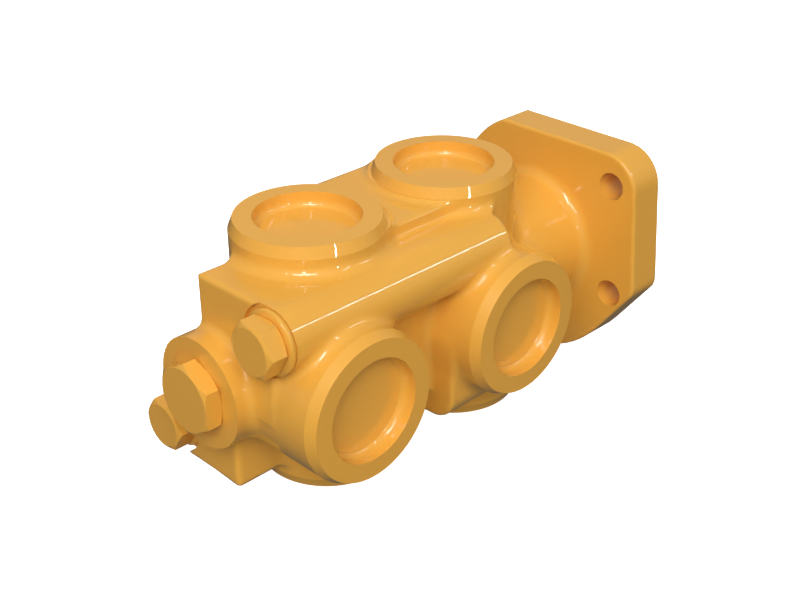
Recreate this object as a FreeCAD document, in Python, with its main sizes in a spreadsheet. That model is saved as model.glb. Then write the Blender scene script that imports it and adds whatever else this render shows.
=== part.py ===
import FreeCAD, Part
import math
import os

import Sketcher

# Two-circuit brake control valve. The valve axis is X. The origin is on that axis, in the flange's
# mounting face, and the body runs from there towards -X. Z is up, the side ports open towards -Y.
# Every place along the axis is a distance from the mounting face, so all sizes are positive.

SIZES = {
    # flange and neck
    "flange_thickness": 15.0,
    "flange_top": 43.2,
    "flange_bottom": 48.7,
    "flange_peak_side": 18.4,
    "flange_top_side": 44.5,
    "flange_knee_side": 48.75,
    "flange_knee_rise": 9.8,
    "flange_slope_side": 19.2,
    "flange_shoulder_run": 8.6,
    "flange_shoulder_drop": 4.7,
    "flange_corner_radius": 14.0,
    "flange_knee_radius": 7.0,
    "flange_slope_radius": 44.0,
    "flange_shoulder_radius": 36.0,
    "bolt_hole_radius": 5.25,
    "bolt_upper_side": 35.0,
    "bolt_upper_rise": 31.0,
    "bolt_lower_side": 37.9,
    "bolt_lower_drop": 12.6,
    "neck_radius": 25.0,
    "neck_fillet": 4.3,
    # port bosses
    "port_radius": 26.0,
    "port_reach": 47.0,
    "port_bevel_depth": 3.76,
    "port_bevel_width": 1.53,
    "port_bore_radius": 18.03,
    "port_recess_depth": 5.4,
    "port_plug_radius": 16.4,
    "port_plug_thickness": 8.0,
    "port_passage_radius": 3.0,
    "port_foot_fillet": 4.0,
    "near_port": 68.65,
    "far_port": 133.0,
    "near_bottom_port": 62.3,
    "far_bottom_port": 126.65,
    "near_side_port": 75.0,
    "far_side_port": 148.7,
    # arms, ribs, middle block and pad
    "arm_end": 172.6,
    "arm_top": 37.4,
    "arm_back": 6.9,
    "arm_corner_radius": 1.8,
    "rib_radius": 11.0,
    "rib_side": 27.0,
    "rib_end": 76.0,
    "middle_half_width": 24.5,
    "pad_top": 42.0,
    "pad_front": 19.0,
    "pad_back": 25.6,
    "block_start": 99.3,
    "block_end": 60.0,
    "block_side": 34.7,
    "block_drop": 34.6,
    "block_corner_radius": 10.0,
    # end boss
    "end_boss_height": 8.4,
    "end_boss_radius": 19.0,
    "end_boss_fillet": 3.5,
    "foot_depth": 1.0,
    "end_spotface_radius": 14.7,
    "end_spotface_depth": 0.4,
    # bores
    "register_radius": 24.0,
    "register_depth": 2.5,
    "bush_bore_radius": 19.0,
    "bush_bore_depth": 18.0,
    "spring_chamber_radius": 15.5,
    "spring_chamber_depth": 52.0,
    "spool_bore_radius": 9.0,
    "plug_bore_radius": 10.2,
    "plug_bore_depth": 17.0,
    "gallery_radius": 3.5,
    "gallery_length": 80.0,
    "gallery_plug_bore_radius": 5.2,
    "gallery_plug_bore_depth": 16.0,
    "gallery_spot_radius": 12.4,
    "upper_spot_depth": 1.5,
    "lower_spot_depth": 3.7,
    "cross_drill_radius": 2.5,
    # fits
    "running_clearance": 0.03,
    "seat_gap": 0.1,
    # plugs and their seals
    "end_hex_flats": 22.5,
    "end_hex_circle": 11.2,
    "end_hex_height": 6.0,
    "hex_chamfer_angle": 30.0,
    "end_plug_length": 14.0,
    "end_plug_hollow": 2.0,
    "gallery_hex_flats": 17.0,
    "gallery_hex_circle": 7.85,
    "gallery_hex_height": 7.6,
    "gallery_hex_turn": 30.0,
    "gallery_plug_length": 12.0,
    "gallery_washer_radius": 10.8,
    "gallery_washer_thickness": 2.0,
    "ring_section_radius": 0.9,
    "groove_gap": 0.05,
    "ring_clearance": 0.02,
    "groove_place": 4.0,
    # plunger end
    "retainer_place": 4.0,
    "retainer_thickness": 1.2,
    "retainer_outer_radius": 20.3,
    "retainer_width": 3.5,
    "retainer_gap": 9.0,
    "wiper_radius": 14.0,
    "wiper_length": 3.0,
    "plunger_radius": 12.0,
    "plunger_chamfer": 1.0,
    "plunger_recess": 3.0,
    "plunger_collar_radius": 14.6,
    "plunger_collar_length": 4.0,
    "plunger_nose_radius": 9.2,
    "plunger_nose_length": 4.0,
    "plunger_cup_radius": 7.5,
    "plunger_cup_depth": 8.0,
    "plunger_cup_floor": 3.0,
    # regulating springs and their seat
    "outer_spring_radius": 12.2,
    "outer_spring_wire": 1.3,
    "outer_spring_coils": 4.0,
    "inner_spring_radius": 6.4,
    "inner_spring_wire": 0.9,
    "inner_spring_coils": 4.0,
    "seat_place": 43.5,
    "seat_radius": 14.6,
    "seat_thickness": 3.0,
    "seat_nose_radius": 4.5,
    "seat_nose_length": 2.5,
    "seat_hub_radius": 4.8,
    "seat_hub_length": 3.0,
    # spools
    "primary_spool_end": 106.0,
    "secondary_spool_start": 114.0,
    "secondary_spool_end": 152.0,
    "spool_waist_radius": 5.5,
    "primary_waist_start": 58.5,
    "primary_waist_end": 71.8,
    "secondary_waist_start": 122.5,
    "secondary_waist_end": 144.5,
    "spool_pocket_radius": 6.4,
    "spool_pocket_depth": 6.0,
    "spool_spring_wire": 0.7,
    "spool_spring_radius": 5.2,
    "middle_spring_coils": 5.0,
    "return_spring_coils": 6.0,
}

# Places that follow from the sizes, worked out in the sheet.
PLACES = {"end_boss_face": "=arm_end + end_boss_height"}

doc = FreeCAD.newDocument("brake_control_valve")
sheet = doc.addObject("Spreadsheet::Sheet", "Sizes")
for row, (alias, value) in enumerate([*SIZES.items(), *PLACES.items()], start=1):
    sheet.set("A%d" % row, alias)
    sheet.set("B%d" % row, str(value))
    sheet.setAlias("B%d" % row, alias)
doc.recompute()

ALONG_X = FreeCAD.Rotation(FreeCAD.Vector(0, 1, 0), 90)
ALONG_Y = FreeCAD.Rotation(FreeCAD.Vector(1, 0, 0), -90)
ALONG_Z = FreeCAD.Rotation()
TOWARDS_BODY = FreeCAD.Rotation(FreeCAD.Vector(0, 0, 1), 180)
HALF_TURN = FreeCAD.Rotation(FreeCAD.Vector(1, 0, 0), 180)
SAME_PLACE = 0.01
HELIX_PIECE = 0.5
NODES = {}


def sized(text):
    """Put the sheet's name before every alias in an expression."""
    words = sorted([*SIZES, *PLACES], key=len, reverse=True)
    out, i = "", 0
    while i < len(text):
        word = next((w for w in words if text.startswith(w, i)), None)
        before = text[i - 1] if i else " "
        if word and not (before.isalnum() or before in "_."):
            out += "Sizes." + word
            i += len(word)
        else:
            out += text[i]
            i += 1
    return out


def worked_out(text):
    """The number that an expression has now."""
    value = sheet.evalExpression(sized(text))
    return float(getattr(value, "Value", value))


def bind(thing, **sizes):
    for prop, text in sizes.items():
        thing.setExpression(prop, sized(text))


def put(thing, x="0", y="0", z="0", turn=None):
    """Set the turn of an object and tie its place to the sheet."""
    if turn is not None:
        thing.Placement = FreeCAD.Placement(FreeCAD.Vector(), turn)
    for axis, text in (("x", x), ("y", y), ("z", z)):
        if text != "0":
            thing.setExpression("Placement.Base." + axis, sized(text))
    return thing


def cylinder(name, radius, length, x="0", y="0", z="0", turn=ALONG_X):
    part = doc.addObject("Part::Cylinder", name)
    bind(part, Radius=radius, Height=length)
    return put(part, x, y, z, turn)


def block(name, length, width, height, x, y, z):
    part = doc.addObject("Part::Box", name)
    bind(part, Length=length, Width=width, Height=height)
    return put(part, x, y, z)


def ring(name, radius, section, x="0", y="0", z="0", turn=ALONG_X):
    part = doc.addObject("Part::Torus", name)
    bind(part, Radius1=radius, Radius2=section)
    return put(part, x, y, z, turn)


def joined(name, pieces):
    whole = doc.addObject("Part::MultiFuse", name)
    whole.Shapes = pieces
    whole.Refine = True
    return whole


def cut_from(name, base, tools):
    result = doc.addObject("Part::Cut", name)
    result.Base = base
    result.Tool = joined(name + "_tools", tools) if len(tools) > 1 else tools[0]
    result.Refine = True
    return result


def shared(name, first, second):
    result = doc.addObject("Part::Common", name)
    result.Base = first
    result.Tool = second
    return result


def turned_half(name, base):
    """The same shape turned half a turn about the valve axis."""
    copy = doc.addObject("Part::Mirroring", name + "_first")
    copy.Source = base
    copy.Normal = FreeCAD.Vector(0, 1, 0)
    again = doc.addObject("Part::Mirroring", name)
    again.Source = copy
    again.Normal = FreeCAD.Vector(0, 0, 1)
    return again


def edge_round(name, base, radius, wanted):
    """Round the edges of base that wanted picks by their end points."""
    doc.recompute()
    numbers = [n for n, edge in enumerate(base.Shape.Edges, start=1) if wanted(edge)]
    if not numbers:
        raise ValueError(name + " found no edge to round")
    part = doc.addObject("Part::Fillet", name)
    part.Base = base
    size = worked_out(radius)
    part.Edges = [(n, size, size) for n in numbers]
    return part


def closed_sketch(body, name, plane, points):
    """A closed outline in a body, with both coordinates of each point tied to the sheet."""
    sketch = body.newObject("Sketcher::SketchObject", name)
    base = next(f for f in body.Origin.OriginFeatures if f.Role == plane)
    sketch.AttachmentSupport = [(base, "")]
    sketch.MapMode = "FlatFace"
    numbers = [FreeCAD.Vector(worked_out(u), worked_out(v), 0) for u, v in points]
    count = len(points)
    for i in range(count):
        sketch.addGeometry(Part.LineSegment(numbers[i], numbers[(i + 1) % count]), False)
    for i in range(count):
        sketch.addConstraint(Sketcher.Constraint("Coincident", i, 2, (i + 1) % count, 1))
    for i, (u, v) in enumerate(points):
        for kind, text, axis in (("DistanceX", u, -2), ("DistanceY", v, -1)):
            if text == "0":
                sketch.addConstraint(Sketcher.Constraint("PointOnObject", i, 1, axis))
            else:
                number = worked_out(text)
                at = sketch.addConstraint(Sketcher.Constraint(kind, -1, 1, i, 1, number))
                sketch.setExpression("Constraints[%d]" % at, sized(text))
    return sketch


def turned(name, points, x="0", y="0", z="0", turn=TOWARDS_BODY):
    """A turned piece: points are (distance along its axis, radius)."""
    body = doc.addObject("PartDesign::Body", name)
    sketch = closed_sketch(body, name + "_profile", "XY_Plane", points)
    solid = body.newObject("PartDesign::Revolution", name + "_turned")
    solid.Profile = sketch
    solid.ReferenceAxis = (sketch, ["H_Axis"])
    solid.Angle = 360
    return put(body, x, y, z, turn)


def hexagon_head(name, flats, circle, height, turned_by, x, y="0", z="0"):
    """A hexagon head whose corners are chamfered at both ends, from a circle on its face."""
    corner = "(%s) / sqrt(3)" % flats
    prism = doc.addObject("Part::Prism", name + "_prism")
    prism.Polygon = 6
    bind(prism, Circumradius=corner, Height=height)
    away = FreeCAD.Rotation(FreeCAD.Vector(0, 1, 0), -90)
    about_axis = FreeCAD.Rotation(FreeCAD.Vector(1, 0, 0), worked_out(turned_by))
    put(prism, x, y, z, about_axis.multiply(away))
    clear = corner + " + foot_depth"
    drop = "(%s - %s) * tan(hex_chamfer_angle)" % (clear, circle)
    blank = turned(name + "_blank", [
        ("0", "0"), ("0", circle), (drop, clear), ("(%s) - %s" % (height, drop), clear),
        (height, circle), (height, "0")], x, y, z)
    return shared(name, prism, blank)


def coil(name, radius, wire, coils, length, x, y="0", z="0"):
    """A round-wire spring whose ends lie in the length given, laid along the valve axis."""
    helix = doc.addObject("Part::Helix", name + "_helix")
    bind(helix, Radius=radius, Height="(%s) - 2 * (%s)" % (length, wire),
         Pitch="((%s) - 2 * (%s)) / (%s)" % (length, wire, coils))
    helix.SegmentLength = HELIX_PIECE
    doc.recompute()
    section = doc.addObject("Part::Circle", name + "_section")
    bind(section, Radius=wire)
    put(section, radius, "0", "0", FreeCAD.Rotation(FreeCAD.Vector(1, 0, 0), 90))
    spring = doc.addObject("Part::Sweep", name)
    spring.Sections = [section]
    spring.Spine = (helix, ["Edge%d" % (n + 1) for n in range(len(helix.Shape.Edges))])
    spring.Solid = True
    spring.Frenet = True
    to_body = FreeCAD.Rotation(FreeCAD.Vector(0, 1, 0), -90)
    return put(spring, "%s - (%s)" % (x, wire), y, z, to_body)


def node(name, thing):
    thing.Label = name
    NODES[name] = thing


# Casting, outside: two arms with round gallery ribs, one the half turn of the other about the
# axis, and a bossed block beside each near port.
def arm_and_block():
    arm = block("arm", "arm_end - far_port", "rib_side + arm_back", "arm_top",
                "-arm_end", "-rib_side", "0")
    arm = edge_round("arm_rounded", arm, "arm_corner_radius", lambda edge: all(
        abs(v.Point.x + worked_out("arm_end")) < SAME_PLACE
        and abs(v.Point.y - worked_out("arm_back")) < SAME_PLACE for v in edge.Vertexes))
    web = block("web", "arm_end - rib_end", "rib_side", "arm_top",
                "-arm_end", "-rib_side", "0")
    hollow = block("under_rib", "far_port", "rib_side - middle_half_width",
                   "arm_top - rib_radius", "-far_port", "-rib_side", "0")
    solid = cut_from("arm_body", joined("arm_and_web", [arm, web]), [hollow])
    rib = cylinder("rib", "rib_radius", "arm_end - rib_end", "-arm_end", "-rib_side",
                   "arm_top - rib_radius")
    bossed = block("bossed_block", "block_start - block_end", "block_side", "block_drop",
                   "-block_start", "-block_side", "-block_drop")
    bossed = edge_round("bossed_block_rounded", bossed, "block_corner_radius", lambda edge: all(
        abs(v.Point.y + worked_out("block_side")) < SAME_PLACE
        and abs(v.Point.z + worked_out("block_drop")) < SAME_PLACE for v in edge.Vertexes))
    return joined("arm_half", [solid, rib, bossed])


half = arm_and_block()
other_half = turned_half("other_arm_half", half)

middle = block("middle", "far_port - near_port", "2 * middle_half_width",
               "2 * middle_half_width", "-far_port", "-middle_half_width", "-middle_half_width")
pad = block("pad", "far_port - near_port", "pad_front + pad_back", "pad_top",
            "-far_port", "-pad_front", "0")

def foot(name, radius, fillet, x="0", y="0", z="0", turn=ALONG_X):
    """The casting fillet round the foot of a round boss, sunk a little into what carries it."""
    collar = cylinder(name + "_collar", "%s + %s" % (radius, fillet),
                      "foot_depth + %s" % fillet, turn=turn)
    hollow = ring(name + "_hollow", "%s + %s" % (radius, fillet), fillet, turn=turn)
    upright = turn.multVec(FreeCAD.Vector(0, 0, 1))
    for thing, along in ((collar, "-foot_depth"), (hollow, fillet)):
        lift = ["(%s) + (%s) * (%s)" % (at, round(way), along)
                for at, way in zip((x, y, z), upright)]
        put(thing, *lift)
    return cut_from(name, collar, [hollow])


# Neck and end boss, each with the fillet round its foot.
neck = cylinder("neck", "neck_radius", "near_port - flange_thickness / 2", "-near_port")
neck_foot = foot("neck_foot", "neck_radius", "neck_fillet", "-flange_thickness",
                 turn=FreeCAD.Rotation(FreeCAD.Vector(0, 1, 0), -90))
end_boss = cylinder("end_boss", "end_boss_radius", "end_boss_face - far_port", "-end_boss_face")
end_foot = shared("end_foot", foot("end_boss_foot", "end_boss_radius", "end_boss_fillet",
                                   "-arm_end", turn=FreeCAD.Rotation(FreeCAD.Vector(0, 1, 0), -90)),
                  joined("end_face_area", [
                      block("end_face_front", "2 * arm_end", "rib_side + arm_back",
                            "arm_top", "-2 * arm_end", "-rib_side", "0"),
                      block("end_face_rear", "2 * arm_end", "rib_side + arm_back",
                            "arm_top", "-2 * arm_end", "-arm_back", "-arm_top")]))


def port_column(name, place, turn, y, z):
    """A round port boss with its bevelled, machined end."""
    return turned(name, [
        ("0", "0"), ("0", "port_radius - port_bevel_width"),
        ("port_bevel_depth", "port_radius"), ("port_reach", "port_radius"),
        ("port_reach", "0")], "-" + place, y, z, turn)


FROM_TOP = FreeCAD.Rotation(FreeCAD.Vector(0, 1, 0), 90)
FROM_BELOW = FreeCAD.Rotation(FreeCAD.Vector(0, 1, 0), -90)
FROM_SIDE = FreeCAD.Rotation(FreeCAD.Vector(0, 0, 1), 90)

# The six ports: each circuit has one above, one below and one at the side.
PORTS = [
    ("top_near", "near_port", FROM_TOP, "0", "port_reach"),
    ("top_far", "far_port", FROM_TOP, "0", "port_reach"),
    ("bottom_near", "near_bottom_port", FROM_BELOW, "0", "-port_reach"),
    ("bottom_far", "far_bottom_port", FROM_BELOW, "0", "-port_reach"),
    ("side_near", "near_side_port", FROM_SIDE, "-port_reach", "0"),
    ("side_far", "far_side_port", FROM_SIDE, "-port_reach", "0"),
]
columns = [port_column("column_" + name, place, turn, y, z) for name, place, turn, y, z in PORTS]

# Fillets round the feet of the upper ports where they stand on the upper arm, and of the lower
# ports where they stand on the lower arm.
def port_feet(name, places, side, turn, area):
    feet = [foot("foot_" + place, "port_radius", "port_foot_fillet", "-" + place, "0", side, turn)
            for place in places]
    return shared(name, joined(name + "_round", feet), area)


arm_area = joined("arm_top_area", [
    block("arm_top_end", "arm_end - far_port", "rib_side + arm_back", "2 * arm_top",
          "-arm_end", "-rib_side", "0"),
    block("arm_top_web", "far_port - rib_end", "rib_side", "2 * arm_top",
          "-far_port", "-rib_side", "0")])
feet = port_feet("port_feet_above", ("near_port", "far_port"), "arm_top", ALONG_Z, arm_area)
other_feet = port_feet("port_feet_below", ("near_bottom_port", "far_bottom_port"), "-arm_top",
                       HALF_TURN, turned_half("arm_bottom_area", arm_area))


# Flange: a cast plate with one sharp corner, cut to its outline and rounded at the others.
def flange_plate():
    corners = [
        ("flange_peak_side", "flange_top", None),
        ("-flange_top_side", "flange_top", "flange_corner_radius"),
        ("-flange_knee_side", "-flange_knee_rise", "flange_knee_radius"),
        ("-flange_slope_side", "-flange_bottom", "flange_slope_radius"),
        ("flange_top_side", "-flange_bottom", "flange_corner_radius"),
        ("flange_knee_side", "flange_knee_rise", "flange_knee_radius"),
        ("flange_peak_side + flange_shoulder_run", "flange_top - flange_shoulder_drop",
         "flange_shoulder_radius"),
    ]
    body = doc.addObject("PartDesign::Body", "flange")
    sketch = closed_sketch(body, "flange_outline", "YZ_Plane", [(y, z) for y, z, _ in corners])
    plate = body.newObject("PartDesign::Pad", "flange_plate")
    plate.Profile = sketch
    bind(plate, Length="flange_thickness")
    plate.Reversed = True
    doc.recompute()
    for radius in ("flange_corner_radius", "flange_knee_radius", "flange_slope_radius",
                   "flange_shoulder_radius"):
        spots = [(worked_out(y), worked_out(z)) for y, z, r in corners if r == radius]
        names = []
        for n, edge in enumerate(body.Tip.Shape.Edges, start=1):
            start, end = edge.Vertexes[0].Point, edge.Vertexes[-1].Point
            level = abs(start.y - end.y) < SAME_PLACE and abs(start.z - end.z) < SAME_PLACE
            if level and any(math.hypot(start.y - y, start.z - z) < SAME_PLACE for y, z in spots):
                names.append("Edge%d" % n)
        rounding = body.newObject("PartDesign::Fillet", "round_" + radius)
        rounding.Base = (plate, names)
        bind(rounding, Radius=radius)
        doc.recompute()
        plate = rounding
    return body


flange = flange_plate()
outside = joined("casting_outside", [half, other_half, middle, pad, neck, neck_foot, end_boss,
                                     end_foot, flange, feet, other_feet] + columns)


# Casting, inside: the stepped main bore, the port bores and their passages, the two galleries.
def main_bore():
    return [
        cylinder("register", "register_radius", "register_depth", "-register_depth"),
        cylinder("bush_bore", "bush_bore_radius", "bush_bore_depth", "-bush_bore_depth"),
        cylinder("retainer_groove", "retainer_outer_radius + running_clearance",
                 "retainer_thickness + seat_gap",
                 "-retainer_place - retainer_thickness - seat_gap"),
        cylinder("spring_chamber", "spring_chamber_radius", "spring_chamber_depth",
                 "-spring_chamber_depth"),
        cylinder("spool_bore", "spool_bore_radius", "end_boss_face", "-end_boss_face"),
        cylinder("plug_bore", "plug_bore_radius", "plug_bore_depth", "-end_boss_face"),
        cylinder("end_spotface", "end_spotface_radius", "end_spotface_depth",
                 "-end_boss_face"),
    ]


def port_bores():
    tools = []
    for name, place, turn, y, z in PORTS:
        tools.append(turned("bore_" + name, [
            ("0", "0"), ("0", "port_bore_radius"), ("port_recess_depth", "port_bore_radius"),
            ("port_recess_depth", "port_plug_radius"),
            ("port_recess_depth + port_plug_thickness", "port_plug_radius"),
            ("port_recess_depth + port_plug_thickness", "port_passage_radius"),
            ("port_reach", "port_passage_radius"), ("port_reach", "0")],
            "-" + place, y, z, turn))
    return tools


def gallery(name, side, rise, spot_depth, port):
    end = "-arm_end"
    reach = "(rib_side - port_passage_radius / 2)"
    start = "-rib_side" if side.startswith("-") else "port_passage_radius / 2"
    return [
        cylinder(name + "_spot", "gallery_spot_radius", spot_depth, end, side, rise),
        cylinder(name + "_thread", "gallery_plug_bore_radius",
                 "gallery_plug_bore_depth + " + spot_depth, end, side, rise),
        cylinder(name + "_drilling", "gallery_radius", "gallery_length", end, side, rise),
        cylinder(name + "_cross", "cross_drill_radius", reach, "-" + port, start, rise, ALONG_Y),
    ]


def bolt_holes():
    places = [("upper_front", "-bolt_upper_side", "bolt_upper_rise"),
              ("lower_front", "-bolt_lower_side", "-bolt_lower_drop"),
              ("lower_rear", "bolt_upper_side", "-bolt_upper_rise"),
              ("upper_rear", "bolt_lower_side", "bolt_lower_drop")]
    return [cylinder("bolt_hole_" + name, "bolt_hole_radius", "flange_thickness",
                     "-flange_thickness", y, z) for name, y, z in places]


GALLERIES = [
    ("upper", "-rib_side", "arm_top - rib_radius", "upper_spot_depth", "far_port"),
    ("lower", "rib_side", "-(arm_top - rib_radius)", "lower_spot_depth", "far_bottom_port"),
]
tools = main_bore() + port_bores() + bolt_holes()
for name, side, rise, spot_depth, port in GALLERIES:
    tools += gallery("gallery_" + name, side, rise, spot_depth, port)
node("valve_body", cut_from("valve_body", outside, tools))

# End plug: a hexagon plug in the end boss, with a seal ring in a groove of its shank.
seat_x = "-(end_boss_face - end_spotface_depth)"
shank_radius = "plug_bore_radius - running_clearance"
groove_radius = "%s - 2 * ring_section_radius" % shank_radius
shank = turned("end_plug_shank", [
    ("0", "0"), ("0", shank_radius),
    ("groove_place", shank_radius), ("groove_place", groove_radius),
    ("groove_place + 2 * ring_section_radius + 2 * groove_gap", groove_radius),
    ("groove_place + 2 * ring_section_radius + 2 * groove_gap", shank_radius),
    ("end_plug_length", shank_radius),
    ("end_plug_length", "spool_pocket_radius"),
    ("end_plug_length - end_plug_hollow", "spool_pocket_radius"),
    ("end_plug_length - end_plug_hollow", "0")], seat_x, turn=FreeCAD.Rotation())
head = hexagon_head("end_plug_head", "end_hex_flats", "end_hex_circle",
                    "end_hex_height + end_spotface_depth", "0", seat_x)
node("end_plug", joined("end_plug", [head, shank]))
node("end_plug_seal", ring("end_plug_seal", shank_radius + " - ring_section_radius",
                           "ring_section_radius - ring_clearance",
                           seat_x + " + groove_place + ring_section_radius + groove_gap"))

# Gallery plugs: hexagon plugs on flat sealing washers, in the counterbore of each rib.
for name, side, rise, spot_depth, _ in GALLERIES:
    floor_x = "-(arm_end - %s)" % spot_depth
    head_x = floor_x + " - gallery_washer_thickness"
    shank = cylinder("gallery_shank_" + name, "gallery_plug_bore_radius - running_clearance",
                     "gallery_plug_length + gallery_washer_thickness", head_x, side, rise)
    head = hexagon_head("gallery_head_" + name, "gallery_hex_flats", "gallery_hex_circle",
                        "gallery_hex_height", "gallery_hex_turn", head_x, side, rise)
    node("gallery_plug_" + name, joined("gallery_plug_" + name, [head, shank]))
    washer = cut_from("gallery_washer_" + name,
                      cylinder("washer_disc_" + name, "gallery_washer_radius",
                               "gallery_washer_thickness", head_x, side, rise),
                      [cylinder("washer_hole_" + name, "gallery_plug_bore_radius",
                                "gallery_washer_thickness", head_x, side, rise)])
    node("gallery_washer_" + name, washer)

# Port plugs: flat discs that close the six ports, each with a seal ring round its rim.
plug_radius = "port_plug_radius - running_clearance"
plug_groove = "%s - 2 * ring_section_radius" % plug_radius
for name, place, turn, y, z in PORTS:
    disc = turned("port_plug_" + name, [
        ("port_recess_depth", "0"), ("port_recess_depth", plug_radius),
        ("port_recess_depth + groove_place / 2", plug_radius),
        ("port_recess_depth + groove_place / 2", plug_groove),
        ("port_recess_depth + groove_place / 2 + 2 * ring_section_radius + 2 * groove_gap",
         plug_groove),
        ("port_recess_depth + groove_place / 2 + 2 * ring_section_radius + 2 * groove_gap",
         plug_radius),
        ("port_recess_depth + port_plug_thickness", plug_radius),
        ("port_recess_depth + port_plug_thickness", "0")], "-" + place, y, z, turn)
    node("port_plug_" + name, disc)
    sink = "port_recess_depth + groove_place / 2 + ring_section_radius + groove_gap"
    seal_y, seal_z, lie = y, z, ALONG_Z
    if turn is FROM_SIDE:
        seal_y, lie = "-(port_reach - (%s))" % sink, ALONG_Y
    elif turn is FROM_TOP:
        seal_z = "port_reach - (%s)" % sink
    else:
        seal_z = "-(port_reach - (%s))" % sink
    node("port_seal_" + name, ring("port_seal_" + name, plug_radius + " - ring_section_radius",
                                   "ring_section_radius - ring_clearance",
                                   "-" + place, seal_y, seal_z, lie))

# Guide bush, its snap ring, the plunger's seal and the wiper.
bush_start = "(retainer_place + retainer_thickness + seat_gap)"
bush_outer = "bush_bore_radius - running_clearance"
bush_inner = "plunger_radius + running_clearance"
seal_groove = "bush_bore_depth - groove_place"
node("guide_bush", turned("guide_bush", [
    (bush_start, bush_outer), ("bush_bore_depth", bush_outer),
    ("bush_bore_depth", bush_inner),
    (seal_groove, bush_inner),
    (seal_groove, bush_inner + " + 2 * ring_section_radius"),
    (seal_groove + " - 2 * ring_section_radius - 2 * groove_gap",
     bush_inner + " + 2 * ring_section_radius"),
    (seal_groove + " - 2 * ring_section_radius - 2 * groove_gap", bush_inner),
    (bush_start + " + wiper_length", bush_inner),
    (bush_start + " + wiper_length", "wiper_radius"),
    (bush_start, "wiper_radius")]))
node("plunger_seal", ring("plunger_seal", bush_inner + " + ring_section_radius",
                          "ring_section_radius - ring_clearance",
                          "-(%s - ring_section_radius - groove_gap)" % seal_groove))
node("wiper_seal", turned("wiper_seal", [
    (bush_start, "plunger_radius + 2 * running_clearance"),
    (bush_start, "wiper_radius - running_clearance"),
    (bush_start + " + wiper_length - seat_gap", "wiper_radius - running_clearance"),
    (bush_start + " + wiper_length - seat_gap", "plunger_radius + 2 * running_clearance")]))
retainer_inner = "retainer_outer_radius - retainer_width"
snap = turned("snap_ring_blank", [
    ("retainer_place", retainer_inner), ("retainer_place", "retainer_outer_radius"),
    ("retainer_place + retainer_thickness", "retainer_outer_radius"),
    ("retainer_place + retainer_thickness", retainer_inner)])
snap_gap = block("snap_ring_gap", "2 * retainer_thickness", "retainer_gap",
                 "retainer_outer_radius", "-retainer_place - 1.5 * retainer_thickness",
                 "-retainer_gap / 2", "-retainer_outer_radius")
node("snap_ring", cut_from("snap_ring", snap, [snap_gap]))

# Plunger: the pedal's push rod sits in its cup, its collar stops against the bush.
collar_start = "(bush_bore_depth + seat_gap)"
collar_end = collar_start + " + plunger_collar_length"
nose_end = collar_end + " + plunger_nose_length"
node("plunger", turned("plunger", [
    ("plunger_recess + plunger_cup_depth", "0"),
    ("plunger_recess + plunger_cup_depth", "plunger_cup_floor"),
    ("plunger_recess", "plunger_cup_radius"),
    ("plunger_recess", "plunger_radius - plunger_chamfer"),
    ("plunger_recess + plunger_chamfer", "plunger_radius"), (collar_start, "plunger_radius"),
    (collar_start, "plunger_collar_radius"), (collar_end, "plunger_collar_radius"),
    (collar_end, "plunger_nose_radius"), (nose_end, "plunger_nose_radius"),
    (nose_end, "0")]))

# Regulating springs between the plunger and the seat that drives the primary spool.
outer_length = "seat_place - (%s) - 2 * seat_gap" % collar_end
node("regulating_spring_outer", coil("regulating_spring_outer", "outer_spring_radius",
     "outer_spring_wire", "outer_spring_coils", outer_length, "-(%s + seat_gap)" % collar_end))
inner_length = "seat_place - (%s) - 2 * seat_gap" % nose_end
node("regulating_spring_inner", coil("regulating_spring_inner", "inner_spring_radius",
     "inner_spring_wire", "inner_spring_coils", inner_length, "-(%s + seat_gap)" % nose_end))
seat_end = "seat_place + seat_thickness"
node("spring_seat", turned("spring_seat", [
    ("seat_place - seat_nose_length", "0"), ("seat_place - seat_nose_length", "seat_nose_radius"),
    ("seat_place", "seat_nose_radius"), ("seat_place", "seat_radius"),
    (seat_end, "seat_radius"), (seat_end, "seat_hub_radius"),
    (seat_end + " + seat_hub_length", "seat_hub_radius"),
    (seat_end + " + seat_hub_length", "0")]))

# Spools: ground lands with two waists each, joined through a light spring.
spool_radius = "spool_bore_radius - running_clearance"
primary_start = "(seat_place + seat_thickness + seat_hub_length)"


def spool(name, start, end, waist_from, waist_to, pockets):
    profile = [(start, "0"), (start, spool_radius)]
    if pockets == "both":
        profile = [(start + " + spool_pocket_depth", "0"),
                   (start + " + spool_pocket_depth", "spool_pocket_radius"),
                   (start, "spool_pocket_radius"), (start, spool_radius)]
    profile += [(waist_from, spool_radius), (waist_from, "spool_waist_radius"),
                (waist_to, "spool_waist_radius"), (waist_to, spool_radius),
                (end, spool_radius), (end, "spool_pocket_radius"),
                (end + " - spool_pocket_depth", "spool_pocket_radius"),
                (end + " - spool_pocket_depth", "0")]
    return turned(name, profile)


node("primary_spool", spool("primary_spool", primary_start, "primary_spool_end",
                            "primary_waist_start", "primary_waist_end", "one"))
node("secondary_spool", spool("secondary_spool", "secondary_spool_start", "secondary_spool_end",
                              "secondary_waist_start", "secondary_waist_end", "both"))
middle_length = "secondary_spool_start - primary_spool_end + 2 * spool_pocket_depth - 2 * seat_gap"
node("middle_spring", coil("middle_spring", "spool_spring_radius", "spool_spring_wire",
     "middle_spring_coils", middle_length,
     "-(primary_spool_end - spool_pocket_depth + seat_gap)"))
plug_floor = "end_boss_face - end_spotface_depth - end_plug_length + end_plug_hollow"
return_start = "secondary_spool_end - spool_pocket_depth + seat_gap"
node("return_spring", coil("return_spring", "spool_spring_radius", "spool_spring_wire",
     "return_spring_coils", "%s - (%s) - seat_gap" % (plug_floor, return_start),
     "-(%s)" % return_start))

doc.recompute()

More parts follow.
